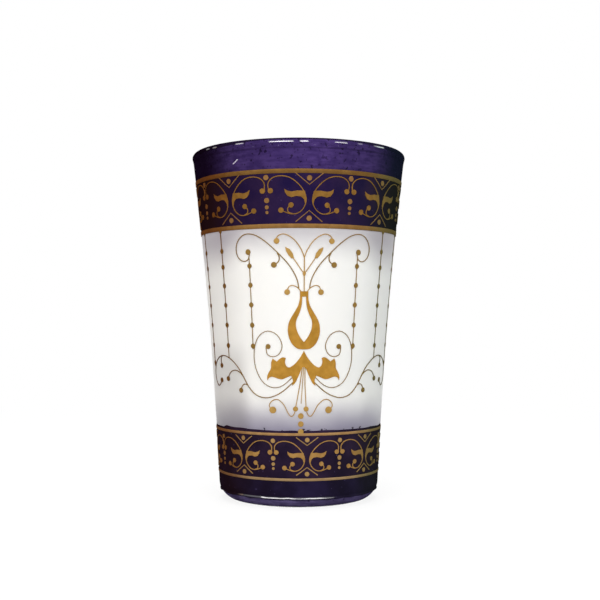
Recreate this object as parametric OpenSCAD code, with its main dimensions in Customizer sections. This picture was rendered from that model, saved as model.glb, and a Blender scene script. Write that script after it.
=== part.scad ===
// Moroccan tea glass: a flared tumbler of clear pressed glass with a thick base. It carries a
// satin frost coat between two bands of violet enamel, and a print of liquid gold over both:
// four rings, two scrolling friezes, and a vase and lily panel on the front and on the back.
// The glass stands on z = 0, about the Z axis. The front panel faces -Y.

/* [Glass] */
// Height of the bare glass, from the table to the top of the rim
glass_h = 88; // [80:0.5:96]
// Outer diameter of the wall, carried up to the rim
rim_d = 54.4; // [50:0.2:60]
// Outer diameter of the wall, carried down to the table
foot_d = 40.2; // [37:0.2:44]
// How far the flared wall bows in from a straight cone at half height
flare_depth = 0.85; // [0:0.05:1.2]
// Wall thickness at the rim
rim_wall_t = 1.7; // [1.4:0.1:1.9]
// Wall thickness at the floor of the cup
foot_wall_t = 2.3; // [1.8:0.1:3]
// Diameter of the fire-polished bead round the rim
lip_bead_d = 2; // [2:0.1:2.6]
// Thickness of the solid base, from the table to the floor of the cup
base_t = 7.5; // [5:0.5:10]
// Radius of the hollow that joins the floor to the wall
floor_fillet_r = 5; // [3:0.5:7]
// Radius of the rounded heel
heel_r = 3.4; // [2.4:0.1:4]
// Diameter of the shallow punt under the base
punt_d = 28; // [20:1:31]
// Depth of the punt at its middle
punt_depth = 1.1; // [0.5:0.1:2]

/* [Coats] */
// Thickness of the violet enamel and of the satin frost
coat_t = 0.15; // [0.1:0.01:0.25]
// Thickness of the thin violet stain round the heel
stain_t = 0.08; // [0.05:0.01:0.1]
// Height where the foot enamel stops above the table
foot_enamel_z = 3; // [2:0.1:4]
// Height where the heel stain stops above the table
heel_stain_z = 0.5; // [0.3:0.1:1]
// How far the lower enamel reaches above the ring that closes it
enamel_lap = 0.9; // [0.5:0.1:1.5]

/* [Gold rings] */
// Thickness of the gold
gold_t = 0.12; // [0.08:0.01:0.2]
// From the rim down to the middle of the first ring
rim_zone_h = 7.6; // [6:0.1:10]
// From the first ring down to the second, round the upper frieze
upper_frieze_h = 12.7; // [10:0.1:15]
// From the table up to the middle of the fourth ring
foot_zone_h = 7.4; // [6:0.1:9]
// From the fourth ring up to the third, round the lower frieze
lower_frieze_h = 10.9; // [9:0.1:13]
// Width of the first and second rings
upper_ring_w = 0.9; // [0.6:0.1:1.4]
// Width of the third and fourth rings
lower_ring_w = 0.5; // [0.4:0.1:1]

/* [Gold print] */
// Number of times that the motif of a frieze repeats round the glass
repeats = 8; // [6:1:9]
// How far the friezes are turned from the middle of the front panel, in degrees
frieze_turn_angle = 2.4; // [0:0.1:22]
// How far the stems, drops and foot scrolls of a panel are turned from its middle, in degrees
foot_turn_angle = -1.8; // [-3:0.1:3]
// Width of the lines in the friezes
frieze_line_w = 0.21; // [0.15:0.01:0.4]
// Width of the sprays, stems and outer scrolls of a panel
spray_w = 0.21; // [0.15:0.01:0.4]
// Width of the finest lines: the inner scrolls and the bead strings
hair_w = 0.17; // [0.13:0.01:0.3]
// Diameter of the balls that end the scrolls of a panel
ball_d = 1.35; // [1:0.05:1.6]
// Width of the beads on the strings, and of the flare where a string leaves its ring
bead_d = 1.15; // [0.8:0.05:1.4]
// Height of the beads, point to point
bead_h = 1.7; // [1.3:0.05:2]
// Angle from the middle of a panel to the first bead string, in degrees
string_start_angle = 32; // [30:0.5:34]
// Angle from each bead string to the next, in degrees
string_step_angle = 20.5; // [19:0.25:21]

/* [Hidden] */
$fn = 96;

// How far cutting shapes run past what they cut
overrun = 1;
// Number of straight steps that follow the flare of the wall
wall_steps = 8;
// Number of straight steps between two points of a drawn curve
curve_steps = 3;
// Number of degrees in the angle whose arc is as long as its radius
degree = 180 / PI;

rim_r = rim_d / 2;
foot_r = foot_d / 2;
lip_r = lip_bead_d / 2;
lip_z = glass_h - lip_r;
punt_ball_r = (pow(punt_d / 2, 2) + pow(punt_depth, 2)) / (2 * punt_depth);

// Heights of the middles of the four rings
ring_1_z = glass_h - rim_zone_h;
ring_2_z = ring_1_z - upper_frieze_h;
ring_4_z = foot_zone_h;
ring_3_z = ring_4_z + lower_frieze_h;

// Outer radius of the wall, a straight cone bowed in by the flare
function flared(share) =
    foot_r + (rim_r - foot_r) * share - 4 * flare_depth * share * (1 - share);
wall_table = [for (i = [0:wall_steps]) [glass_h * i / wall_steps, flared(i / wall_steps)]];
function wall_r(z) = lookup(z, wall_table);

// Thickness of the wall and inner radius of the cup at a height
function wall_t(z) = foot_wall_t + (rim_wall_t - foot_wall_t) * (z - base_t) / (lip_z - base_t);
function cup_r(z) = wall_r(z) - wall_t(z);

lip_c = wall_r(lip_z) - rim_wall_t / 2;
heel_c = wall_r(heel_r) - heel_r;
fillet_z = base_t + floor_fillet_r;
fillet_c = cup_r(fillet_z) - floor_fillet_r;

// Points up the wall from one height to another, standing off it by t
function up_wall(z0, z1, t) = [
    [wall_r(z0) + t, z0],
    for (w = wall_table) if (w[0] > z0 && w[0] < z1) [w[1] + t, w[0]],
    [wall_r(z1) + t, z1]
];
function backwards(list) = [for (i = [len(list) - 1:-1:0]) list[i]];

// Half section of the glass with its cup filled in, thickened by t on the outside
module filled_section(t) {
    polygon(concat([[0, 0], [heel_c, 0], [heel_c, heel_r]], up_wall(heel_r, lip_z, t), [[0, lip_z]]));
    translate([heel_c, heel_r]) circle(r = heel_r + t);
    translate([lip_c, lip_z]) circle(r = lip_r + t);
}

module cup_section() {
    polygon(concat(
        [[0, base_t], [fillet_c, base_t], [fillet_c, fillet_z]],
        [for (p = up_wall(fillet_z, lip_z, 0)) [p[0] - wall_t(p[1]), p[1]]],
        [[cup_r(lip_z), glass_h + overrun], [0, glass_h + overrun]]
    ));
    translate([fillet_c, fillet_z]) circle(r = floor_fillet_r);
}

module punt_section() {
    intersection() {
        translate([0, punt_depth - punt_ball_r]) circle(r = punt_ball_r);
        translate([0, -overrun]) square([punt_d, overrun + punt_depth]);
    }
}

module right_half() {
    intersection() {
        children();
        translate([0, -overrun]) square([rim_d, glass_h + 3 * overrun]);
    }
}

module glass_tumbler() {
    color("azure", 0.5) rotate_extrude() right_half() {
        difference() {
            filled_section(0);
            cup_section();
            punt_section();
        }
        translate([lip_c, lip_z]) circle(r = lip_r);
    }
}

// A coat of thickness t on the outside of the glass, from one height to another
module coat(t, z0, z1) {
    rotate_extrude() intersection() {
        difference() {
            filled_section(t);
            filled_section(0);
        }
        translate([heel_c / 2, z0]) square([rim_d, z1 - z0]);
    }
}

// The stain wraps the bead of the rim and stops on its inner side
module rim_stain() {
    color("rebeccapurple") rotate_extrude() difference() {
        intersection() {
            filled_section(coat_t);
            translate([0, ring_1_z + upper_ring_w / 2]) square([rim_d, rim_zone_h]);
        }
        filled_section(0);
        square([lip_c, lip_z]);
    }
}

module upper_enamel() {
    color("indigo") coat(coat_t, ring_2_z - upper_ring_w / 2, ring_1_z + upper_ring_w / 2);
}

module frost_coat() {
    color("white") coat(coat_t, ring_3_z + enamel_lap, ring_2_z - upper_ring_w / 2);
}

module lower_enamel() {
    color("indigo") coat(coat_t, ring_4_z - lower_ring_w / 2, ring_3_z + enamel_lap);
}

module foot_enamel() {
    color("indigo") coat(coat_t, foot_enamel_z, ring_4_z - lower_ring_w / 2);
}

module heel_stain() {
    color("rebeccapurple") coat(stain_t, heel_stain_z, foot_enamel_z);
}

// Section of the gold that lies on the coats between two heights
module gold_section(z0, z1) {
    polygon(concat(up_wall(z0, z1, coat_t), backwards(up_wall(z0, z1, coat_t + gold_t))));
}

module gold_ring(z, w) {
    color("goldenrod") rotate_extrude() gold_section(z - w / 2, z + w / 2);
}

// The print is drawn flat, x round the wall at the radius $roll_r and y up it. It is pressed on
// to the glass straight from the angle $press_a, in pieces narrow enough to take it.
function laid(p) = [
    (wall_r(p[1]) + coat_t + gold_t / 2) * sin(p[0] / $roll_r * degree - $press_a), p[1]
];

// Prints a flat drawing between two heights and two angles
module printed(z0, z1, roll_r, a0, a1) {
    $roll_r = roll_r;
    $press_a = (a0 + a1) / 2;
    color("goldenrod") rotate([0, 0, $press_a]) intersection() {
        rotate([0, 0, -90 - (a1 - a0) / 2]) rotate_extrude(angle = a1 - a0) gold_section(z0, z1);
        rotate([90, 0, 0]) linear_extrude(height = rim_d) children();
    }
}

// A smooth curve that passes through every point of a list
function between(a, b, c, d, t) =
    b + ((c - a) * t + (2 * a - 5 * b + 4 * c - d) * t * t + (3 * b - a - 3 * c + d) * t * t * t) / 2;
function curve(p) = [
    for (i = [0:len(p) - 2], k = [0:curve_steps - 1])
        between(p[max(i - 1, 0)], p[i], p[i + 1], p[min(i + 2, len(p) - 1)], k / curve_steps),
    p[len(p) - 1]
];

// Points beside a path, to its left by w
function beside(p, w) = [
    for (i = [0:len(p) - 1])
        let (d = p[min(i + 1, len(p) - 1)] - p[max(i - 1, 0)]) p[i] + w * [-d[1], d[0]] / norm(d)
];

module filled(outline) {
    polygon([for (p = outline) laid(p)]);
}

module stroke(path, w) {
    filled(concat(beside(path, w / 2), backwards(beside(path, -w / 2))));
}

module ball(p, d) {
    translate(laid(p)) circle(d = d);
}

module both_sides() {
    children();
    mirror([1, 0, 0]) children();
}

// One motif of a frieze, as shares of the motif's length and of the height between its two
// rings, from the middle of the motif and the lower ring
frieze_scroll_shares = [
    [0.475, 0.672], [0.476, 0.812], [0.416, 0.914], [0.310, 0.942], [0.195, 0.880],
    [0.085, 0.700], [0.036, 0.500], [0.062, 0.320], [0.130, 0.212], [0.215, 0.196], [0.305, 0.248]
];
frieze_curl_shares = [[0.190, 0.192], [0.243, 0.232], [0.252, 0.298], [0.232, 0.352]];
frieze_leaf_shares = [
    [0.052, 0.648], [0.140, 0.652], [0.205, 0.632], [0.255, 0.650], [0.289, 0.690], [0.280, 0.612],
    [0.250, 0.545], [0.205, 0.522], [0.150, 0.545], [0.095, 0.535], [0.062, 0.480], [0.048, 0.390],
    [0.034, 0.480], [0.040, 0.560]
];
frieze_ball_shares = [[0.452, 0.655], [0.332, 0.270], [0.213, 0.370]];
frieze_ball_share = 0.105;
// How high the scrolls of the lower frieze rise beside those of the upper one
low_rise_share = 0.92;
// How far the arms of a chevron reach from its tip, and the heights of the two tips and their dots
chevron_reach_share = 0.16;
chevron_tip_shares = [0.262, 0.772];
chevron_dot_shares = [0.110, 0.898];
// Heights where the arms end: those of the upper frieze run up to their ring, and the rest stop short
upper_arm_end_shares = [0.04, 1];
lower_arm_end_shares = [0.08, 0.957];
// Height of each dot between two motifs, and its size, as shares of the frieze's height
column_shares = [[0.466, 0.105], [0.331, 0.081], [0.229, 0.064]];
upper_top_dot_share = 0.915;
lower_top_dot_share = 0.872;

motif_angle = 360 / repeats;
upper_frieze_z = [ring_2_z + upper_ring_w / 2, ring_1_z - upper_ring_w / 2];
lower_frieze_z = [ring_4_z + lower_ring_w / 2, ring_3_z - lower_ring_w / 2];

function frieze_r(z) = wall_r((z[0] + z[1]) / 2);
function in_frieze(share, z) =
    [share[0] * motif_angle / degree * frieze_r(z), z[0] + share[1] * (z[1] - z[0])];
function all_in_frieze(shares, z, rise_share) =
    [for (s = shares) in_frieze([s[0], s[1] * rise_share], z)];

// Prints one drawing in every motif of a frieze, turned on by a share of a motif
module round_frieze(z, turn_share) {
    for (i = [0:repeats - 1])
        rotate([0, 0, frieze_turn_angle + (i + turn_share) * motif_angle])
            printed(z[0], z[1], frieze_r(z), -motif_angle / 2, motif_angle / 2) children();
}

module frieze_scrolls(z, rise_share) {
    round_frieze(z, 0) both_sides() {
        stroke(curve(all_in_frieze(frieze_scroll_shares, z, rise_share)), frieze_line_w);
        stroke(curve(all_in_frieze(frieze_curl_shares, z, rise_share)), frieze_line_w);
        filled(all_in_frieze(frieze_leaf_shares, z, rise_share));
        for (p = all_in_frieze(frieze_ball_shares, z, rise_share))
            ball(p, frieze_ball_share * (z[1] - z[0]));
    }
}

module frieze_chevrons(z, arm_end_shares) {
    round_frieze(z, 0) for (i = [0, 1]) {
        end = [chevron_reach_share, arm_end_shares[i]];
        path = [[-end[0], end[1]], [0, chevron_tip_shares[i]], end];
        stroke(all_in_frieze(path, z, 1), frieze_line_w);
    }
}

module frieze_dots(z, top_dot_share) {
    round_frieze(z, 0)
        for (s = chevron_dot_shares) ball(in_frieze([0, s], z), frieze_ball_share * (z[1] - z[0]));
    round_frieze(z, 1 / 2) {
        ball(in_frieze([0, top_dot_share], z), frieze_ball_share * (z[1] - z[0]));
        for (s = column_shares) ball(in_frieze([0, s[0]], z), s[1] * (z[1] - z[0]));
    }
}

// The panel, as shares of the drawing's width from its middle line, and of its height from the
// middle of the third ring. The right half is given, and the left half is its mirror image.
// The drawing's own width is a share of the half circle that each panel has.
drawing_share = 0.684;
collar_shares = [[0.0195, 0.690], [0.0195, 0.655]];
vase_shares = [
    [0.0195, 0.664], [0.021, 0.648], [0.028, 0.622], [0.042, 0.596], [0.058, 0.570], [0.072, 0.542],
    [0.078, 0.508], [0.074, 0.474], [0.061, 0.443], [0.043, 0.423], [0.022, 0.413]
];
vase_hollow_shares = [
    [0.009, 0.664], [0.010, 0.636], [0.014, 0.610], [0.024, 0.580], [0.035, 0.556], [0.039, 0.532],
    [0.035, 0.506], [0.024, 0.480], [0.011, 0.460], [0, 0.447]
];
// The lily's outline in runs from one tip or notch to the next, starting with the point on top
lily_run_shares = [
    [
        [0, 0.405], [0.015, 0.378], [0.030, 0.358], [0.047, 0.340], [0.064, 0.328], [0.077, 0.325],
        [0.088, 0.334], [0.093, 0.351], [0.089, 0.370]
    ],
    [[0.089, 0.370], [0.102, 0.374], [0.117, 0.368], [0.135, 0.353]],
    [[0.135, 0.353], [0.156, 0.367]],
    [[0.156, 0.367], [0.164, 0.347], [0.166, 0.320], [0.178, 0.300], [0.187, 0.280], [0.186, 0.260]],
    [
        [0.186, 0.260], [0.177, 0.273], [0.162, 0.279], [0.145, 0.275], [0.126, 0.269], [0.106, 0.268],
        [0.084, 0.277], [0.064, 0.285]
    ],
    [[0.064, 0.285], [0.056, 0.269], [0.055, 0.253], [0.060, 0.236]],
    [[0.060, 0.236], [0.045, 0.248], [0.032, 0.271], [0.022, 0.292], [0.012, 0.316], [0.005, 0.329]]
];
crown_arc_shares = [
    [0, 0.850], [0.012, 0.884], [0.036, 0.924], [0.064, 0.950], [0.092, 0.962], [0.116, 0.954],
    [0.127, 0.938]
];
crown_ball_shares = [0.124, 0.929];
bud_stem_shares = [[0, 0.772], [0.024, 0.808], [0.050, 0.848]];
bud_shares = [
    [0.046, 0.848], [0.052, 0.870], [0.066, 0.890], [0.086, 0.901], [0.082, 0.882], [0.072, 0.862],
    [0.058, 0.846]
];
stem_knot_shares = [[0, 0.792], [0.008, 0.774], [0, 0.754], [-0.008, 0.774]];
neck_curl_shares = [
    [0.010, 0.682], [0.024, 0.701], [0.038, 0.712], [0.055, 0.718], [0.071, 0.711], [0.079, 0.690]
];
neck_ball_shares = [0.079, 0.686];
spray_shares = [
    [0.025, 0.702], [0.031, 0.740], [0.050, 0.784], [0.079, 0.828], [0.115, 0.868], [0.168, 0.921],
    [0.219, 0.957], [0.265, 0.967], [0.302, 0.952], [0.326, 0.917], [0.329, 0.879], [0.314, 0.849],
    [0.288, 0.836], [0.265, 0.845], [0.257, 0.872]
];
spray_ball_shares = [0.264, 0.880];
spray_twig_shares = [[0.122, 0.872], [0.113, 0.852], [0.117, 0.832], [0.130, 0.820]];
twig_ball_shares = [0.139, 0.816];
inner_scroll_shares = [
    [0.050, 0.284], [0.104, 0.238], [0.155, 0.226], [0.206, 0.248], [0.241, 0.298], [0.256, 0.360],
    [0.250, 0.425], [0.224, 0.476], [0.178, 0.500], [0.130, 0.480], [0.107, 0.432], [0.120, 0.392],
    [0.150, 0.376], [0.182, 0.386], [0.189, 0.420]
];
inner_ball_shares = [0.178, 0.425];
outer_scroll_shares = [
    [0.054, 0.252], [0.104, 0.210], [0.150, 0.186], [0.198, 0.176], [0.250, 0.188], [0.296, 0.228],
    [0.330, 0.280], [0.368, 0.327], [0.420, 0.363], [0.478, 0.377], [0.534, 0.363], [0.580, 0.328],
    [0.597, 0.284], [0.582, 0.240], [0.548, 0.223], [0.515, 0.244]
];
outer_ball_shares = [0.511, 0.252];
low_twig_shares = [[0.300, 0.234], [0.318, 0.240], [0.335, 0.232], [0.346, 0.214]];
low_twig_ball_shares = [0.347, 0.208];
high_twig_shares = [[0.322, 0.268], [0.344, 0.292], [0.380, 0.306], [0.418, 0.296], [0.443, 0.268]];
high_twig_ball_shares = [0.444, 0.262];
top_twig_shares = [[0.482, 0.377], [0.503, 0.364], [0.504, 0.336]];
top_twig_ball_shares = [0.502, 0.326];
stem_shares = [[0.006, 0.335], [0.013, 0.240], [0.027, 0.128]];
middle_stem_shares = [[0, 0.335], [0, 0.150]];
stem_ball_shares = [0.027, 0.124];
foot_scroll_shares = [
    [0.030, 0.110], [0.040, 0.092], [0.054, 0.090], [0.070, 0.112], [0.088, 0.144], [0.118, 0.168],
    [0.148, 0.164], [0.166, 0.140], [0.150, 0.114]
];
foot_ball_shares = [0.146, 0.118];
drop_shares = [0.090, 0.051, 0.014];
bead_shares = [0.891, 0.813, 0.721, 0.626, 0.528, 0.427, 0.337];
// Where each string starts and ends, first the one nearest the middle of the panel
string_shares = [[0.850, 0.421], [1, 0.366], [1, 0.318]];
// Size of the small balls at the feet of the scrolls, and of the large ones of the foot scrolls
small_ball_share = 0.9;
large_ball_share = 1.2;

// How far each drawing reaches from the middle of the panel, as shares of the drawing's width
middle_reach_shares = [-0.22, 0.22];
spray_reach_shares = [0.01, 0.37];
inner_scroll_reach_shares = [0.03, 0.28];
outer_scroll_reach_shares = [0.03, 0.63];
string_reach_share = 0.03;

panel_h = ring_2_z - ring_3_z;
panel_r = wall_r((ring_2_z + ring_3_z) / 2);
drawing_w = drawing_share * PI * panel_r;
panel_z = [ring_3_z + lower_ring_w / 2, ring_2_z - upper_ring_w / 2];
panel_high_share = (panel_z[1] - ring_3_z) / panel_h;

function in_panel(share) = [share[0] * drawing_w, ring_3_z + share[1] * panel_h];
function all_in_panel(shares) = [for (s = shares) in_panel(s)];
function panel_angle(share) = share * drawing_w / panel_r * degree;
function angle_share(angle) = angle / degree * panel_r / drawing_w;
function string_share(i) = angle_share(string_start_angle + i * string_step_angle);
function with_mirror(shares) = concat(shares, [for (s = backwards(shares)) [-s[0], s[1]]]);
// Smooths each run of an outline, and keeps the tips between them sharp
function smooth_runs(runs) = [for (r = runs) let (c = curve(r)) for (i = [0:len(c) - 2]) c[i]];

// Points on one side of the turned foot of the panel, where a stem leans over from the lily
foot_turn_share = angle_share(foot_turn_angle);
function foot_lean(height_share) =
    min(1, (stem_shares[0][1] - height_share) / (stem_shares[0][1] - stem_shares[2][1]));
function in_foot(share, side) =
    in_panel([side * share[0] + foot_turn_share * foot_lean(share[1]), share[1]]);
function all_in_foot(shares, side) = [for (s = shares) in_foot(s, side)];

module on_panel(reach_shares) {
    angles = [for (s = reach_shares) panel_angle(s)];
    printed(panel_z[0], panel_z[1], panel_r, angles[0], angles[1]) children();
}

// What each piece of the panel looks like flat, where another piece has to be cut clear of it
module vase_drawing() {
    filled(all_in_panel(with_mirror(collar_shares)));
    filled(all_in_panel(curve(with_mirror(vase_shares))));
}

module lily_drawing() {
    filled(all_in_panel(with_mirror(smooth_runs(lily_run_shares))));
}

// The right half of the crown, which is all that the right-hand spray meets
module crown_side_drawing() {
    stroke(curve(all_in_panel(crown_arc_shares)), spray_w);
    ball(in_panel(crown_ball_shares), ball_d);
    stroke(all_in_panel(bud_stem_shares), spray_w);
    filled(all_in_panel(bud_shares));
    stroke(curve(all_in_panel(neck_curl_shares)), spray_w);
    ball(in_panel(neck_ball_shares), ball_d);
}

module spray_drawing() {
    stroke(curve(all_in_panel(spray_shares)), spray_w);
    ball(in_panel(spray_ball_shares), ball_d);
    stroke(curve(all_in_panel(spray_twig_shares)), spray_w);
    ball(in_panel(twig_ball_shares), ball_d);
}

module inner_scroll_drawing() {
    stroke(curve(all_in_panel(inner_scroll_shares)), hair_w);
    ball(in_panel(inner_ball_shares), ball_d * small_ball_share);
}

module outer_scroll_drawing() {
    stroke(curve(all_in_panel(outer_scroll_shares)), spray_w);
    stroke(curve(all_in_panel(low_twig_shares)), spray_w);
    stroke(curve(all_in_panel(high_twig_shares)), spray_w);
    stroke(curve(all_in_panel(top_twig_shares)), spray_w);
    for (s = [low_twig_ball_shares, high_twig_ball_shares, top_twig_ball_shares, outer_ball_shares])
        ball(in_panel(s), ball_d * small_ball_share);
}

module stem_drawing() {
    stroke(all_in_foot(middle_stem_shares, 1), hair_w);
    for (side = [-1, 1]) {
        stroke(all_in_foot(stem_shares, side), spray_w);
        ball(in_foot(stem_ball_shares, side), ball_d * small_ball_share);
    }
}

// A bead is a ball drawn out to a point above and below
module bead_string_drawing(i) {
    x = string_share(i);
    stroke(all_in_panel([for (s = string_shares[i]) [x, s]]), hair_w);
    if (string_shares[i][0] == 1) {
        flare = in_panel([x, panel_high_share]);
        filled([flare - [bead_d / 2, 0], flare - [0, bead_h / 2], flare + [bead_d / 2, 0]]);
    }
    for (s = bead_shares) if (s < string_shares[i][0] && s > string_shares[i][1]) {
        middle = in_panel([x, s]);
        ball(middle, bead_d);
        filled([for (p = [[bead_d, 0], [0, bead_h], [-bead_d, 0], [0, -bead_h]]) middle + p / 2]);
    }
}

module vase() {
    on_panel(middle_reach_shares) difference() {
        vase_drawing();
        filled(all_in_panel(with_mirror(curve(vase_hollow_shares))));
    }
}

module lily() {
    on_panel(middle_reach_shares) lily_drawing();
}

module crown() {
    on_panel(middle_reach_shares) difference() {
        union() {
            stroke(all_in_panel([[0, collar_shares[0][1]], crown_arc_shares[0]]), spray_w);
            filled(all_in_panel(stem_knot_shares));
            both_sides() crown_side_drawing();
        }
        vase_drawing();
    }
}

module sprays() {
    both_sides() on_panel(spray_reach_shares) difference() {
        spray_drawing();
        crown_side_drawing();
    }
}

module inner_scrolls() {
    both_sides() on_panel(inner_scroll_reach_shares) difference() {
        inner_scroll_drawing();
        lily_drawing();
    }
}

module outer_scrolls() {
    both_sides() on_panel(outer_scroll_reach_shares) difference() {
        outer_scroll_drawing();
        lily_drawing();
    }
}

module bead_strings() {
    both_sides() for (i = [0:len(string_shares) - 1]) {
        x = string_share(i);
        on_panel([x - string_reach_share, x + string_reach_share]) difference() {
            bead_string_drawing(i);
            spray_drawing();
            inner_scroll_drawing();
            outer_scroll_drawing();
        }
    }
}

module stems() {
    on_panel(middle_reach_shares) difference() {
        stem_drawing();
        lily_drawing();
    }
}

module foot_scrolls() {
    on_panel(middle_reach_shares) difference() {
        for (side = [-1, 1]) {
            stroke(curve(all_in_foot(foot_scroll_shares, side)), spray_w);
            ball(in_foot(foot_ball_shares, side), ball_d * large_ball_share);
        }
        stem_drawing();
    }
}

module drops() {
    on_panel(middle_reach_shares) for (s = drop_shares) ball(in_foot([0, s], 1), ball_d);
}

module back() {
    rotate([0, 0, 180]) children();
}

glass_tumbler();
rim_stain();
upper_enamel();
frost_coat();
lower_enamel();
foot_enamel();
heel_stain();
gold_ring(ring_1_z, upper_ring_w);  // gold_ring_under_rim
gold_ring(ring_2_z, upper_ring_w);  // gold_ring_over_panel
gold_ring(ring_3_z, lower_ring_w);  // gold_ring_under_panel
gold_ring(ring_4_z, lower_ring_w);  // gold_ring_over_foot
frieze_scrolls(upper_frieze_z, 1);  // upper_frieze_scrolls
frieze_chevrons(upper_frieze_z, upper_arm_end_shares);  // upper_frieze_chevrons
frieze_dots(upper_frieze_z, upper_top_dot_share);  // upper_frieze_dots
frieze_scrolls(lower_frieze_z, low_rise_share);  // lower_frieze_scrolls
frieze_chevrons(lower_frieze_z, lower_arm_end_shares);  // lower_frieze_chevrons
frieze_dots(lower_frieze_z, lower_top_dot_share);  // lower_frieze_dots
vase();  // front_vase
lily();  // front_lily
crown();  // front_crown
sprays();  // front_sprays
inner_scrolls();  // front_inner_scrolls
outer_scrolls();  // front_outer_scrolls
bead_strings();  // front_bead_strings
stems();  // front_stems
foot_scrolls();  // front_foot_scrolls
drops();  // front_drops
back() vase();  // back_vase
back() lily();  // back_lily
back() crown();  // back_crown
back() sprays();  // back_sprays
back() inner_scrolls();  // back_inner_scrolls
back() outer_scrolls();  // back_outer_scrolls
back() bead_strings();  // back_bead_strings
back() stems();  // back_stems
back() foot_scrolls();  // back_foot_scrolls
back() drops();  // back_drops
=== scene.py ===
from math import asin, atan2, cos, degrees, hypot, pi, radians, sin

import bmesh
import bpy
from mathutils import Euler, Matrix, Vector, noise


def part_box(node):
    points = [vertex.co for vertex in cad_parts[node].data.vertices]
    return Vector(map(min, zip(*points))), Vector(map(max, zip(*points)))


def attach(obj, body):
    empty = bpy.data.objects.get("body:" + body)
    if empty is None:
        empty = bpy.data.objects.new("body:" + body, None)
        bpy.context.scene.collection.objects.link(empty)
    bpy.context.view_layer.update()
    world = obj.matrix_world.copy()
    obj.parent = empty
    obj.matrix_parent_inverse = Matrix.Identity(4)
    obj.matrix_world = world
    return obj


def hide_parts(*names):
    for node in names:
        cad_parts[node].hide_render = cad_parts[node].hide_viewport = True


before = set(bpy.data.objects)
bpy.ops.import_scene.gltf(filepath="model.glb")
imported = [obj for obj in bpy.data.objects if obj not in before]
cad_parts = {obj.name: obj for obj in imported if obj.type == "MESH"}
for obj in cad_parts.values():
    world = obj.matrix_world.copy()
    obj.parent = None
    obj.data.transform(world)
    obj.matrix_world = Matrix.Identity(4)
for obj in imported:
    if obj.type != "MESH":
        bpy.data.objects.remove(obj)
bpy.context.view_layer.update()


# The tumbler: one piece of clear soda glass, pressed in a mould. The base is thick and stands on a
# ring round a shallow punt. The rim was softened in a flame, which left a bead that stands a little
# proud of the wall on both sides.
mm = 0.001
glass_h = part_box("glass_tumbler")[1].z
foot_r = 20.1 * mm
rim_r = 27.2 * mm
flare_depth = 0.85 * mm
rim_wall_t = 1.7 * mm
foot_wall_t = 2.3 * mm
lip_r = 1 * mm
lip_neck = 25
base_t = 7.5 * mm
floor_fillet_r = 5 * mm
heel_r = 4.7 * mm
punt_r = 14 * mm
punt_depth = 1.1 * mm
edge_r = 0.3 * mm

lip_z = glass_h - lip_r
neck_z = lip_z - 1.3 * mm
wall_step = 1.6 * mm
arc_step = 7.5
turn_steps = 240
punt_steps = 14
floor_rings = (0.97, 0.7, 0.4, 0)
merge_gap = 0.001 * mm


def wall_r(z):
    """Outer radius of the wall: a straight cone, bowed in at half height."""
    share = z / glass_h
    return foot_r + (rim_r - foot_r) * share - 4 * flare_depth * share * (1 - share)


def cup_r(z):
    """Inner radius of the cup, whose wall grows thicker towards the floor."""
    share = (z - base_t) / (lip_z - base_t)
    return wall_r(z) - foot_wall_t - (rim_wall_t - foot_wall_t) * share


def spread(start, end, steps):
    """Evenly spaced numbers from one to another, both included."""
    return [start + (end - start) * i / steps for i in range(steps + 1)]


def arc(centre, radius, start, end):
    """Points round an arc of a half section, from one angle to another above straight outwards."""
    steps = max(2, round(abs(end - start) / arc_step))
    angles = [radians(angle) for angle in spread(start, end, steps)]
    return [(centre[0] + radius * cos(a), centre[1] + radius * sin(a)) for a in angles]


def along(radius_at, low, high):
    """Points along a wall from one height to another, up or down."""
    steps = max(1, round(abs(high - low) / wall_step))
    return [(radius_at(z), z) for z in spread(low, high, steps)]


def turned(name, outline, closed):
    """Turns a half section once round the axis, as a smooth piece with its faces outwards."""
    shell = bmesh.new()
    points = [shell.verts.new((r, 0, z)) for r, z in outline]
    ends = points[1:] + points[:1] if closed else points[1:]
    edges = [shell.edges.new(pair) for pair in zip(points, ends)]
    bmesh.ops.spin(
        shell, geom=points + edges, cent=(0, 0, 0), axis=(0, 0, 1), angle=2 * pi,
        steps=turn_steps, use_merge=True,
    )
    bmesh.ops.remove_doubles(shell, verts=shell.verts, dist=merge_gap)
    bmesh.ops.recalc_face_normals(shell, faces=shell.faces)
    for face in shell.faces:
        face.smooth = True
    mesh = bpy.data.meshes.new(name)
    shell.to_mesh(mesh)
    shell.free()
    piece = bpy.data.objects.new(name, mesh)
    bpy.context.scene.collection.objects.link(piece)
    return piece


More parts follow.
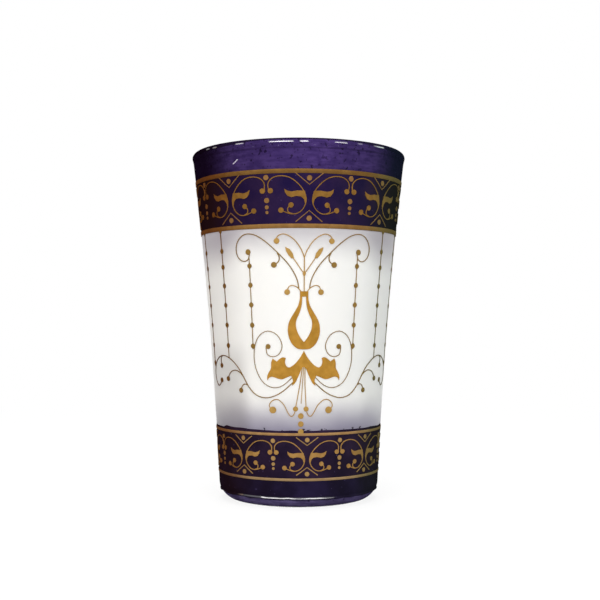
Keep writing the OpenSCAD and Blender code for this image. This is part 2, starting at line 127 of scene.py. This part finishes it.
class Shade:
    """A number or a colour on its way through a material; sums of them add their own nodes."""

    def __init__(self, tree, socket=None):
        self.tree = tree
        self.socket = socket

    def node(self, kind, settings, sockets, output=0):
        """Adds a node: its settings first, then a value or a link for each socket named."""
        made = self.tree.nodes.new("ShaderNode" + kind)
        for setting, value in settings.items():
            setattr(made, setting, value)
        for socket, value in sockets.items():
            if isinstance(value, Shade):
                self.tree.links.new(value.socket, made.inputs[socket])
            else:
                made.inputs[socket].default_value = value
        return Shade(self.tree, made.outputs[output] if made.outputs else None)

    def maths(self, operation, first, second):
        """Adds a Math node of two values."""
        return self.node("Math", {"operation": operation}, {0: first, 1: second})

    def __add__(self, other):
        return self.maths("ADD", self, other)

    def __radd__(self, other):
        return self.maths("ADD", other, self)

    def __sub__(self, other):
        return self.maths("SUBTRACT", self, other)

    def __rsub__(self, other):
        return self.maths("SUBTRACT", other, self)

    def __mul__(self, other):
        return self.maths("MULTIPLY", self, other)

    def __rmul__(self, other):
        return self.maths("MULTIPLY", other, self)

    def mix(self, amount, first, second):
        """A colour between two others. A Mix node's colours go in at 6 and 7, and come out at 2."""
        return self.node("Mix", {"data_type": "RGBA"}, {0: amount, 6: first, 7: second}, 2)

    def place(self):
        """Where a point of the surface is on the object."""
        return self.node("TexCoord", {}, {}, "Object")

    def along_axis(self, axis):
        """How far a point lies along X, Y or Z."""
        return self.node("SeparateXYZ", {}, {"Vector": self.place()}, axis)

    def facing(self, angle):
        """1 where the wall faces an angle, and -1 where it faces straight away from it. The angle
        is 0 in front and 90 to the right."""
        flat = self.node("VectorMath", {"operation": "MULTIPLY"}, {0: self.place(), 1: (1, 1, 0)})
        out = self.node("VectorMath", {"operation": "NORMALIZE"}, {0: flat})
        aim = (sin(radians(angle)), -cos(radians(angle)), 0)
        return self.node("VectorMath", {"operation": "DOT_PRODUCT"}, {0: out, 1: aim}, "Value")

    def sides(self):
        """0 in the middle of the front and of the back, and 1 on the two sides."""
        return self.node("Math", {"operation": "ABSOLUTE"}, {0: self.facing(90)})

    def to_the_right(self):
        """0 on the left side and 1 on the right, with a soft change in front and at the back."""
        return self.fade(self.facing(90), -0.5, 0.5)

    def sector(self, angle, half, blur):
        """1 within so many degrees of an angle, or of its opposite, with blurred ends."""
        near = self.node("Math", {"operation": "ABSOLUTE"}, {0: self.facing(angle)})
        return self.fade(near, cos(radians(half + blur)), cos(radians(half)))

    def band(self, value, low, high, blur):
        """1 between two values, with blurred edges."""
        return self.fade(value, low - blur, low) * (1 - self.fade(value, high, high + blur))

    def off_line(self, start, end):
        """How far a point lies from a short straight line."""
        reach = end - start
        near = self.node("VectorMath", {"operation": "SUBTRACT"}, {0: self.place(), 1: start})
        share = self.node("VectorMath", {"operation": "DOT_PRODUCT"}, {0: near, 1: reach}, "Value")
        share = self.node("MapRange", {}, {"Value": share, "From Max": reach.length_squared})
        foot = self.node("VectorMath", {"operation": "SCALE"}, {0: reach, "Scale": share})
        gap = self.node("VectorMath", {"operation": "SUBTRACT"}, {0: near, 1: foot})
        return self.node("VectorMath", {"operation": "LENGTH"}, {0: gap}, "Value")

    def clouds(self, size, detail=3, stretch=(1, 1, 1)):
        """Soft patches about so large, from 0 to 1."""
        spot = self.node("Mapping", {}, {"Vector": self.place(), "Scale": stretch})
        return self.node(
            "TexNoise", {}, {"Vector": spot, "Scale": 1 / size, "Detail": detail}, "Fac"
        )

    def fade(self, value, start, end):
        """0 at start and 1 at end, smoothly between."""
        return self.node(
            "MapRange", {"interpolation_type": "SMOOTHSTEP"},
            {"Value": value, "From Min": start, "From Max": end},
        )

    def relief(self, height, depth):
        """A bump that is so deep where the height is 1."""
        return self.node("Bump", {}, {"Height": height, "Distance": depth}, "Normal")

    def surface(self, sockets):
        """The Principled shader that closes a material."""
        shader = self.node("BsdfPrincipled", {}, sockets)
        self.node("OutputMaterial", {}, {"Surface": shader})


def new_finish(name):
    """An empty material, and the start of what goes into it."""
    finish = bpy.data.materials.new(name)
    finish.use_nodes = True
    finish.node_tree.nodes.clear()
    return finish, Shade(finish.node_tree)


def paint(red, green, blue):
    """A colour from a paint chart, 0 to 255, as amounts of light."""
    parts = [part / 255 for part in (red, green, blue)]
    return tuple(p / 12.92 if p < 0.04 else ((p + 0.055) / 1.055) ** 2.4 for p in parts) + (1,)


def clear_glass():
    """Clear glass with the faint waves that the mould leaves, and a breath of grey."""
    finish, shade = new_finish("clear_glass")
    waves = shade.clouds(9 * mm, 2)
    tint = shade.mix(waves, paint(250, 252, 252), paint(244, 249, 247))
    shade.surface({
        "Base Color": tint,
        "Roughness": 0.015 + 0.02 * shade.clouds(4 * mm),
        "IOR": 1.5,
        "Transmission Weight": 1.0,
        "Normal": shade.relief(waves, 0.05 * mm),
    })
    return finish


lip_centre = (wall_r(lip_z) - rim_wall_t / 2, lip_z)


def tumbler_outline():
    """Half section of the glass, from the middle of the punt round to the middle of the cup."""
    heel = (wall_r(heel_r) - heel_r, heel_r)
    punt_ball_r = (punt_r ** 2 + punt_depth ** 2) / (2 * punt_depth)
    punt_end = degrees(asin((punt_r - edge_r) / punt_ball_r))
    punt = [
        (punt_ball_r * sin(radians(a)), punt_depth - punt_ball_r * (1 - cos(radians(a))))
        for a in spread(0, punt_end, punt_steps)
    ]
    fillet_z = base_t + floor_fillet_r
    fillet = (cup_r(fillet_z) - floor_fillet_r, fillet_z)
    return (
        punt
        + [(punt_r, 0), (punt_r + edge_r, 0), (heel[0] - edge_r, 0)]
        + arc(heel, heel_r, -90, 0)
        + along(wall_r, heel_r, neck_z)[1:]
        + arc(lip_centre, lip_r, -lip_neck, 180 + lip_neck)
        + along(cup_r, neck_z, fillet_z)[:-1]
        + arc(fillet, floor_fillet_r, 0, -90)
        + [(fillet[0] * share, base_t) for share in floor_rings]
    )


def settle(piece, finish, node):
    """Gives a piece its finish, and its place on the glass instead of the CAD node."""
    piece.data.materials.append(finish)
    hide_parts(node)
    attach(piece, "root")


tumbler = turned("clear_tumbler", tumbler_outline(), False)
settle(tumbler, clear_glass(), "glass_tumbler")


# The stain of the rim: a violet lustre, brushed over the bead and down to the first gold ring, and
# fired. It stops just inside the mouth. It lies unevenly, with thin spots and dark grains in it. A
# short pale streak on it is a painted highlight, and painted shade darkens the bead's crown, the
# crease under the bead and the two sides.
coat_t = 0.15 * mm
sunk_t = 0.05 * mm
nose_steps = 4
stain_low_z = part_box("rim_stain")[0].z
stain_end = 180
side_start = 0.5
side_end = 0.9
wide_start = 0.12
wide_end = 0.5
wide_shade = 0.26
# Painted shade along the crease under the bead.
crease_z = lip_z - 1.25 * mm
crease_h = 0.4 * mm
# Painted shade on the crown of the bead, reaching further down on the two sides.
crown_shade_z = lip_z + 0.55 * mm
crown_shade_h = 0.2 * mm
crown_shade_drop = 0.9 * mm
crown_shade_start = 0.3
grain_size = 0.9 * mm
grain_reach = 7 * mm
# A painted highlight: a short pale streak, slanting, on the left of the rim.
glint_streak_start = (-38.8, glass_h - 5.3 * mm)
glint_streak_end = (-35.9, glass_h - 4.4 * mm)
glint_streak_w = 0.26 * mm
lip_gloss_low = lip_z + 0.08 * mm
lip_gloss_high = lip_z + 0.34 * mm
lip_gloss_blur = 0.06 * mm
glint_blur = 1.4
# Each glossy place on the lip: its angle round the glass, and half its width in degrees.
LIP_GLINTS = [
    (-57, 0.6), (-51, 0.6), (-33.9, 1.4), (-11.7, 5.2),
    (-0.4, 1.1), (18.2, 2.4), (29, 0.4), (41.8, 3),
]


def skinned(path, inside, outside):
    """Closed half section of a skin along a path, between two depths off it, with round ends."""
    def off(i, depth):
        """The point so far off the path at its point i."""
        before, after = path[max(i - 1, 0)], path[min(i + 1, len(path) - 1)]
        across = (after[1] - before[1], before[0] - after[0])
        share = depth / hypot(*across)
        return path[i][0] + across[0] * share, path[i][1] + across[1] * share

    def nose(i, start):
        """The round end at point i, whose first angle is off the path's own."""
        low, high = off(i, inside), off(i, outside(path[i][1]))
        middle = ((low[0] + high[0]) / 2, (low[1] + high[1]) / 2)
        arm = (high[0] - middle[0], high[1] - middle[1])
        turns = [radians(start + 180 * k / nose_steps) for k in range(1, nose_steps)]
        return [
            (middle[0] + arm[0] * cos(a) - arm[1] * sin(a),
             middle[1] + arm[0] * sin(a) + arm[1] * cos(a))
            for a in turns
        ]

    last = len(path) - 1
    face = [off(i, outside(path[i][1])) for i in range(len(path))]
    back = [off(i, inside) for i in range(last, -1, -1)]
    return face + nose(last, 0) + back + nose(0, 180)


def even(depth):
    """The same depth at every height."""
    return lambda z: depth


def move_points(piece, moved):
    """Puts each point of a piece where moved says."""
    shape = bmesh.new()
    shape.from_mesh(piece.data)
    for point in shape.verts:
        point.co = moved(point.co)
    shape.to_mesh(piece.data)
    shape.free()


def wander(piece, z, reach, depth, size):
    """Moves the rows of points near a height up and down round the glass, as a hand would."""
    def moved(spot):
        share = max(0, 1 - abs(spot.z - z) / reach)
        swing = noise.noise(Vector((spot.x, spot.y, z)) / size)
        return spot.x, spot.y, spot.z + depth * share * swing

    move_points(piece, moved)


def on_wall(angle, z):
    """A point on the coats, at an angle that is 0 in front and 90 to the right."""
    r = wall_r(z) + coat_t
    return Vector((r * sin(radians(angle)), -r * cos(radians(angle)), z))


def paint_side_shade(shade, tone, most, left, right):
    """Painted shade on the two sides of the glass, darkest at the edges, with a painted brown tint
    of warm light on the left and a grey one of cool light on the right."""
    side = shade.sides()
    side_shade = most * shade.fade(side, side_start, side_end)
    side_shade = side_shade + (1 - side_shade) * (wide_shade * most * shade.fade(side, wide_start, wide_end))
    dark = shade.mix(shade.to_the_right(), left, right)
    return shade.mix(side_shade, tone, dark)


def violet_stain(name, deep, light, thin_spots, most):
    """Violet lustre: streaked along the brush, mottled, with dark grains and thin spots. The bead
    of the rim has painted shade on its crown and in the crease under it, and is glossy in a few
    places. Painted shade darkens the two sides, and a short pale streak is a painted highlight."""
    finish, shade = new_finish(name)
    mottle = shade.clouds(2.2 * mm, 5)
    streaks = shade.clouds(3 * mm, 4, (1, 1, 5))
    patches = shade.clouds(14 * mm, 2)
    z = shade.along_axis("Z")
    violet = shade.mix(shade.fade(0.5 * mottle + 0.5 * streaks, 0.36, 0.66), deep, light)
    violet = shade.mix(0.6 * shade.fade(patches, 0.35, 0.7), violet, deep)
    # Painted shade along the crease under the bead.
    crease = shade.band(z, crease_z, crease_z, crease_h)
    violet = shade.mix(crease * 0.45, violet, paint(26, 17, 46))
    near_lip = shade.fade(z, lip_z - grain_reach, lip_z)
    grains = shade.fade(shade.clouds(grain_size, 2) + 0.05 * near_lip, 0.64, 0.7)
    grains = grains * shade.fade(patches, 0.3, 0.55)
    violet = shade.mix(grains * 0.8, violet, paint(20, 12, 34))
    # Painted highlight: a short pale slanting streak on the left.
    off_glint_streak = shade.off_line(on_wall(*glint_streak_start), on_wall(*glint_streak_end))
    glint_streak = 1 - shade.fade(off_glint_streak, glint_streak_w * 0.3, glint_streak_w * 0.6)
    violet = shade.mix(glint_streak, violet, paint(214, 206, 226))
    # Painted shade on the crown of the bead.
    crown = z + crown_shade_drop * shade.fade(shade.sides(), crown_shade_start, side_end)
    crown = shade.fade(crown, crown_shade_z, crown_shade_z + crown_shade_h)
    violet = shade.mix(crown * 0.8, violet, paint(16, 10, 22))
    gloss = 0
    for angle, half in LIP_GLINTS:
        gloss = gloss + shade.sector(angle, half, glint_blur)
    gloss = gloss * shade.band(z, lip_gloss_low, lip_gloss_high, lip_gloss_blur)
    shade.surface({
        # Painted shade on the two sides.
        "Base Color": paint_side_shade(shade, violet, most, paint(11, 3, 11), paint(14, 21, 31)),
        "Roughness": 0.3 + 0.12 * mottle,
        "Alpha": 1 - thin_spots * shade.fade(mottle, 0.4, 0.75),
        "Specular IOR Level": 0.0,
        "Coat Weight": gloss,
        "Coat IOR": 2.4,
        "Coat Roughness": 0.1,
        "Normal": shade.relief(shade.clouds(5 * mm, 3) + 0.3 * mottle, 0.09 * mm),
    })
    return finish


rim_path = along(wall_r, stain_low_z, neck_z) + arc(lip_centre, lip_r, -lip_neck, stain_end)
rim_stain = turned("violet_rim", skinned(rim_path, -sunk_t, even(coat_t)), True)
wander(rim_stain, lip_z + 0.2 * mm, reach=0.9 * mm, depth=0.14 * mm, size=4 * mm)
stain = violet_stain(
    "violet_stain_rim", paint(48, 34, 80), paint(72, 54, 109), thin_spots=0.04, most=0.92
)
settle(rim_stain, stain, "rim_stain")


# The upper band: violet enamel, sprayed through a stencil between the rim and the frost, and fired
# to a satin. The second gold ring hides its lower edge.
dust_size = 0.5 * mm
gloss_middle = -14
gloss_half = 21
gloss_blur = 18
gloss_edge = 0.05 * mm


def coat_path(node):
    """The path up the wall that a node's coat covers."""
    low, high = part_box(node)
    return along(wall_r, low.z, high.z)


def violet_enamel(name, deep, light, most, gloss_low=0, gloss_high=0):
    """Satin enamel, a little cloudy, with fine dust fired into it. Its front and its back are
    glossy between the two heights, if they are given."""
    finish, shade = new_finish(name)
    cloud = shade.clouds(6 * mm, 4)
    tone = shade.mix(shade.fade(cloud, 0.3, 0.7), deep, light)
    dust = shade.fade(shade.clouds(dust_size, 1), 0.74, 0.8)
    tone = shade.mix(dust * 0.5, tone, paint(104, 92, 140))
    gloss = shade.band(shade.along_axis("Z"), gloss_low, gloss_high, gloss_edge)
    gloss = gloss * shade.sector(gloss_middle, gloss_half, gloss_blur)
    shade.surface({
        # Painted shade on the two sides.
        "Base Color": paint_side_shade(shade, tone, most, paint(26, 11, 9), paint(25, 27, 23)),
        "Roughness": 0.3 + 0.1 * shade.clouds(2 * mm),
        "Specular IOR Level": 0.0,
        "Coat Weight": gloss,
        "Coat IOR": 1.9,
        "Coat Roughness": 0.08,
        "Normal": shade.relief(shade.clouds(4 * mm, 3), 0.05 * mm),
    })
    return finish


upper_section = skinned(coat_path("upper_enamel"), -sunk_t, even(coat_t))
upper_enamel = turned("violet_upper_band", upper_section, True)
enamel = violet_enamel("violet_enamel_upper", paint(26, 18, 53), paint(40, 27, 57), most=0.92)
settle(upper_enamel, enamel, "upper_enamel")


# The frost: a white satin coat over the middle of the glass. The bands on each side were sprayed
# after it. Painted shade turns it lavender grey near both of them, and a little greyer on the two
# sides and low on the left.
frost_low, frost_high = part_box("frost_coat")
frost_lap = 0.4 * mm
frost_t = coat_t - 0.01 * mm
frost_sunk_t = 0.8 * sunk_t
# Where the painted shade lies: near both bands, on the sides and low on the left.
shade_drift = 3 * mm
lower_shade_full = frost_low.z - 1 * mm
lower_shade_gone = frost_low.z + 9.1 * mm
upper_shade_gone = frost_high.z - 9 * mm
upper_shade_full = frost_high.z + 2 * mm
upper_shade_side = 3.3 * mm
frost_side_start = 0.55
frost_side_end = 0.8
side_shade_grey = 0.25
shaded_angle = -70
shaded_start = 0.79
shaded_end = 0.92
shaded_full_z = 34 * mm
shaded_gone_z = 42 * mm
speck_size = 1.2 * mm
speck_reach = 1.2 * mm


def satin_frost():
    """White satin, faintly see-through, with painted shade near both bands, on the two sides and
    low on the left, and a few dark specks, most of them at the lower edge."""
    finish, shade = new_finish("satin_frost")
    z = shade.along_axis("Z")
    side = shade.fade(shade.sides(), frost_side_start, frost_side_end)
    drift = (shade.clouds(12 * mm, 2) - 0.5) * shade_drift
    # Painted shade: lavender grey near both bands, reaching further down on the two sides.
    lower_shade = 1 - shade.fade(z + drift, lower_shade_full, lower_shade_gone)
    upper_shade = z + drift + upper_shade_side * side
    upper_shade = shade.fade(upper_shade, upper_shade_gone, upper_shade_full)
    white = shade.mix(shade.clouds(7 * mm), paint(252, 251, 248), paint(247, 247, 247))
    # Painted shade on the two sides.
    white = shade.mix(side * side_shade_grey, white, paint(214, 214, 212))
    tone = shade.mix(upper_shade * (0.8 + 0.16 * side), white, paint(166, 160, 170))
    tone = shade.mix(lower_shade, tone, paint(140, 135, 158))
    # Painted shade low on the left, deeper near the lower band.
    shaded = shade.fade(shade.facing(shaded_angle), shaded_start, shaded_end)
    shaded = shaded * (1 - shade.fade(z, shaded_full_z, shaded_gone_z))
    tone = shade.mix(shaded * (0.27 + 0.22 * lower_shade), tone, paint(110, 104, 108))
    near_edge = 1 - shade.fade(z, frost_low.z, frost_low.z + speck_reach)
    specks = shade.fade(shade.clouds(speck_size, 2) + 0.2 * near_edge, 0.78, 0.82)
    tone = shade.mix(specks, tone, paint(30, 22, 42))
    grain = shade.clouds(0.16 * mm, 2)
    shade.surface({
        "Base Color": tone,
        "Roughness": 0.5 + 0.16 * grain,
        "Specular IOR Level": 0.1,
        "Transmission Weight": 0.33,
        "Sheen Weight": 0.45,
        "Sheen Roughness": 0.5,
        "Normal": shade.relief(grain, 0.006 * mm),
    })
    return finish


frost_path = along(wall_r, frost_low.z - frost_lap, frost_high.z)
frost_coat = turned("satin_frost_coat", skinned(frost_path, -frost_sunk_t, even(frost_t)), True)
settle(frost_coat, satin_frost(), "frost_coat")


# The lower band: the same enamel, laid over the end of the frost. Its upper edge was cut by hand
# and wanders a little above the third gold ring. On the left it starts high, and slopes down from
# there.
lower_edge_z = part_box("lower_enamel")[1].z
lower_edge_reach = 1.2 * mm
slope_start = -61
slope_end = -30
slope_h = 0.42 * mm
slope_fall = 3


def raise_edge(piece, z, reach):
    """Raises the edge of a coat at a height along the wall, most at the start of the slope."""
    def moved(spot):
        angle = degrees(atan2(spot.x, -spot.y))
        right = (slope_end - angle) / (slope_end - slope_start)
        left = 1 - (slope_start - angle) / slope_fall
        share = max(0, min(right, left)) * max(0, 1 - abs(spot.z - z) / reach)
        high = spot.z + slope_h * share
        wider = wall_r(high) / wall_r(spot.z)
        return spot.x * wider, spot.y * wider, high

    move_points(piece, moved)


lower_section = skinned(coat_path("lower_enamel"), -sunk_t, even(coat_t))
lower_enamel = turned("violet_lower_band", lower_section, True)
wander(lower_enamel, lower_edge_z, lower_edge_reach, depth=0.16 * mm, size=3 * mm)
raise_edge(lower_enamel, lower_edge_z, lower_edge_reach)
enamel = violet_enamel("violet_enamel_lower", paint(28, 20, 37), paint(42, 30, 50), most=0.55)
settle(lower_enamel, enamel, "lower_enamel")


# The foot: enamel again, under the fourth ring. It ran down while it was wet and gathered in a
# raised edge round the heel, whose sloping upper side catches the light.
foot_low, foot_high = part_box("foot_enamel")
run_reach = 0.25 * mm
run_edge_t = 0.248 * mm
run_edge_h = 0.26 * mm
run_lip = 0.04 * mm
run_step = run_edge_h / 4
run_steps = 6
foot_steps = 8

foot_edge_z = foot_low.z - run_reach
run_top_z = foot_edge_z + run_lip + run_edge_h


def body_r(z):
    """Outer radius of the glass at any height, the round heel included."""
    if z >= heel_r:
        return wall_r(z)
    return wall_r(heel_r) - heel_r + (heel_r ** 2 - (heel_r - z) ** 2) ** 0.5


def gathered(z):
    """Thickness of the foot enamel at a height."""
    return coat_t + run_edge_t * min(1, max(0, (run_top_z - z) / run_edge_h))


run_rows = [foot_edge_z, foot_edge_z + run_lip]
run_rows += [run_rows[1] + run_step * i for i in range(1, run_steps + 1)]
foot_rows = run_rows + spread(run_rows[-1], foot_high.z, foot_steps)[1:]
foot_path = [(body_r(z), z) for z in foot_rows]
foot_enamel = turned("violet_foot", skinned(foot_path, -sunk_t, gathered), True)
wander(foot_enamel, foot_edge_z, reach=0.9 * mm, depth=0.22 * mm, size=2.2 * mm)
enamel = violet_enamel(
    "violet_enamel_foot", paint(22, 17, 34), paint(32, 26, 51), most=0.6,
    gloss_low=foot_edge_z, gloss_high=run_top_z,
)
settle(foot_enamel, enamel, "foot_enamel")


# The stain of the heel: a thin wash of the violet lustre, brushed on below the foot's enamel and
# fired. The thick base glows through it. Its paler tone is partly a painted reflection of the white
# table.
heel_low, heel_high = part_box("heel_stain")
heel_stain_t = 0.08 * mm
heel_steps = 12

heel_path = [(body_r(z), z) for z in spread(heel_low.z, heel_high.z, heel_steps)]
heel_stain = turned("violet_heel", skinned(heel_path, -sunk_t, even(heel_stain_t)), True)
# Paler than the rim: a thinner wash, and partly a painted reflection of the white table.
stain = violet_stain(
    "violet_stain_heel", paint(66, 57, 92), paint(98, 88, 132), thin_spots=0.2, most=0
)
settle(heel_stain, stain, "heel_stain")


# The four rings: liquid gold, banded on with a brush while the glass turned on a wheel. Their edges
# are rounded, and they lie over the edges of the coats.
gold_t = 0.12 * mm
gold_sunk_t = 0.03 * mm
# How much painted shade the gold has on the two sides.
side_shade_share = 0.65
RING_GOLDS = {
    "gold_ring_under_rim": (paint(96, 69, 35), paint(107, 79, 41)),
    "gold_ring_over_panel": (paint(113, 83, 45), paint(125, 93, 53)),
    "gold_ring_under_panel": (paint(139, 107, 69), paint(151, 118, 78)),
    "gold_ring_over_foot": (paint(130, 106, 74), paint(142, 117, 84)),
}


def liquid_gold(name, deep, light):
    """Fired gold: soft metal, cloudy where it lies thin, with a faint brushed grain, and painted
    shade on the two sides, with a painted brown reflection on the left and an olive one on the
    right."""
    finish, shade = new_finish(name)
    cloud = shade.clouds(1.6 * mm, 4)
    grain = shade.clouds(0.25 * mm, 2)
    gold = shade.mix(shade.fade(cloud, 0.3, 0.7), deep, light)
    side = shade.fade(shade.sides(), side_start, side_end)
    # Painted shade on the two sides, with a painted brown reflection on the left and an olive one
    # on the right.
    side_shade_tint = shade.mix(shade.to_the_right(), paint(76, 32, 8), paint(74, 82, 54))
    shade.surface({
        "Base Color": shade.mix(side * side_shade_share, gold, side_shade_tint),
        "Metallic": 0.2 + 0.1 * cloud,
        "Roughness": 0.34 + 0.2 * grain,
        "Specular IOR Level": 0.0,
        "Specular Tint": paint(150, 110, 60),
        "Normal": shade.relief(grain, 0.01 * mm),
    })
    return finish


for node, tones in RING_GOLDS.items():
    ring_section = skinned(coat_path(node), coat_t - gold_sunk_t, even(coat_t + gold_t))
    ring = turned(node.replace("gold_ring", "banded_ring"), ring_section, True)
    ring_gold = liquid_gold(node.replace("gold_ring", "liquid_gold"), *tones)
    settle(ring, ring_gold, node)


# The two friezes and the two panels: liquid gold again, printed through a silk screen and fired.
# A broad patch of it keeps its bright yellow, while fine lines fire thinner, darker and greyer.
panel_gold = (paint(148, 116, 60), paint(164, 131, 74))
PRINT_GOLDS = {
    "upper_frieze_scrolls": (paint(108, 77, 35), paint(124, 90, 43)),
    "upper_frieze": (paint(114, 83, 48), paint(130, 96, 58)),
    "lower_frieze_scrolls": (paint(137, 103, 57), paint(153, 117, 67)),
    "lower_frieze": (paint(138, 109, 68), paint(154, 123, 78)),
    "vase": (paint(148, 108, 42), paint(168, 124, 52)),
    "lily": (paint(150, 110, 43), paint(170, 126, 53)),
    "crown": panel_gold,
    "stems": panel_gold,
    "foot_scrolls": panel_gold,
    "drops": panel_gold,
    "": (paint(116, 91, 44), paint(132, 104, 56)),
}
print_golds = {
    drawing: liquid_gold("liquid_gold_" + (drawing or "fine"), *tones)
    for drawing, tones in PRINT_GOLDS.items()
}
for node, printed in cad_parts.items():
    first_word = node.split("_")[0]
    if first_word not in ("front", "back", "upper", "lower") or node.endswith("_enamel"):
        continue
    drawing = next(part for part in PRINT_GOLDS if part in node)
    printed.data.materials.clear()
    printed.data.materials.append(print_golds[drawing])


# The table and the room: a plain white table, and a white room that the camera, the glass and the
# gold see at full strength, while the coats are lit by a dimmer one.
plain_white = (1, 1, 1, 1)
table_half = 3.0
table_near = 0.06
table_far = 0.3
near_glow = 0.84
room_light = 0.12


def seen_directly(shade):
    """1 for what the camera sees straight, in a reflection or through glass, and 0 for the light
    that falls on a matt surface."""
    path = shade.node("LightPath", {}, {})
    rays = [
        Shade(shade.tree, path.socket.node.outputs[name])
        for name in ("Is Camera Ray", "Is Glossy Ray", "Is Transmission Ray")
    ]
    return shade.maths("MAXIMUM", shade.maths("MAXIMUM", rays[0], rays[1]), rays[2])


table_shape = bmesh.new()
bmesh.ops.create_circle(table_shape, cap_ends=True, segments=64, radius=table_half)
table_mesh = bpy.data.meshes.new("table")
table_shape.to_mesh(table_mesh)
table_shape.free()
table = bpy.data.objects.new("table", table_mesh)
bpy.context.scene.collection.objects.link(table)

finish, shade = new_finish("white_table")
off_middle = shade.node("VectorMath", {"operation": "LENGTH"}, {0: shade.place()}, "Value")
bare = near_glow + (1 - near_glow) * shade.fade(off_middle, table_near, table_far)
direct = seen_directly(shade)
table_tone = shade.mix(direct, paint(176, 176, 176), paint(250, 250, 250))
lit = shade.node("BsdfDiffuse", {}, {"Color": table_tone})
glow = shade.node("Emission", {}, {"Color": plain_white, "Strength": 1.0})
both = shade.node("MixShader", {}, {0: direct * bare, 1: lit, 2: glow})
shade.node("OutputMaterial", {}, {"Surface": both})
table_mesh.materials.append(finish)

world = bpy.data.worlds.new("white_room")
bpy.context.scene.world = world
world.use_nodes = True
world.node_tree.nodes.clear()
shade = Shade(world.node_tree)
white = shade.node("Background", {}, {"Color": plain_white, "Strength": 1.0})
dim = shade.node("Background", {}, {"Color": plain_white, "Strength": room_light})
room = shade.node("MixShader", {}, {0: seen_directly(shade), 1: dim, 2: white})
shade.node("OutputWorld", {}, {"Surface": room})


# The lamps: flat ones that all face the middle of the glass. The long window in front, and its
# edge far to the left, make the glints on the lip and on the foot. The warm and the cool lamp
# light the two sides.
lamp_distance = 0.5
# Each lamp's azimuth (0 in front, 90 to the right), rise, width, height, power and colour.
LAMPS = {
    "front_window": (-4, 26, 1.2, 0.14, 4.8, (1, 0.99, 0.97)),
    "window_edge": (-79, 29, 0.3, 0.12, 0.24, (1, 0.96, 0.9)),
    "ceiling": (0, 90, 0.4, 0.4, 2.0, (1, 1, 1)),
    "warm_side": (-95, 8, 0.1, 0.3, 0.22, (1, 0.58, 0.28)),
    "cool_side": (95, 8, 0.14, 0.3, 0.42, (0.8, 1, 0.93)),
    "back_light": (176, 32, 0.16, 0.06, 0.6, (1, 1, 1)),
}
glass_middle = Vector((0, 0, glass_h / 2))
for name, (azimuth, rise, width, height, power, colour) in LAMPS.items():
    light = bpy.data.lights.new(name, "AREA")
    light.shape = "RECTANGLE"
    light.size = width
    light.size_y = height
    light.energy = power
    light.color = colour
    lamp = bpy.data.objects.new(name, light)
    bpy.context.scene.collection.objects.link(lamp)
    out = Vector((
        sin(radians(azimuth)) * cos(radians(rise)),
        -cos(radians(azimuth)) * cos(radians(rise)),
        sin(radians(rise)),
    ))
    lamp.location = glass_middle + out * lamp_distance
    lamp.rotation_euler = out.to_track_quat("Z", "Y").to_euler()


# The camera: level, a little above half the height of the glass, and a little to the left of the
# panel's middle. Its shift sets the glass where the photograph has it.
camera_turn = -3.2
camera_distance = 257.9 * mm
camera_h = 44.8 * mm
camera = bpy.data.cameras.new("camera")
camera.lens = 59.6
camera.sensor_width = 36
camera.shift_x = 0.0024
camera.shift_y = 0.039
camera.clip_start = 0.01
viewer = bpy.data.objects.new("camera", camera)
bpy.context.scene.collection.objects.link(viewer)
viewer.location = (
    sin(radians(camera_turn)) * camera_distance,
    -cos(radians(camera_turn)) * camera_distance,
    camera_h,
)
viewer.rotation_euler = Euler((radians(90), 0, radians(camera_turn)))
bpy.context.scene.camera = viewer
bpy.context.scene.view_settings.view_transform = "Standard"
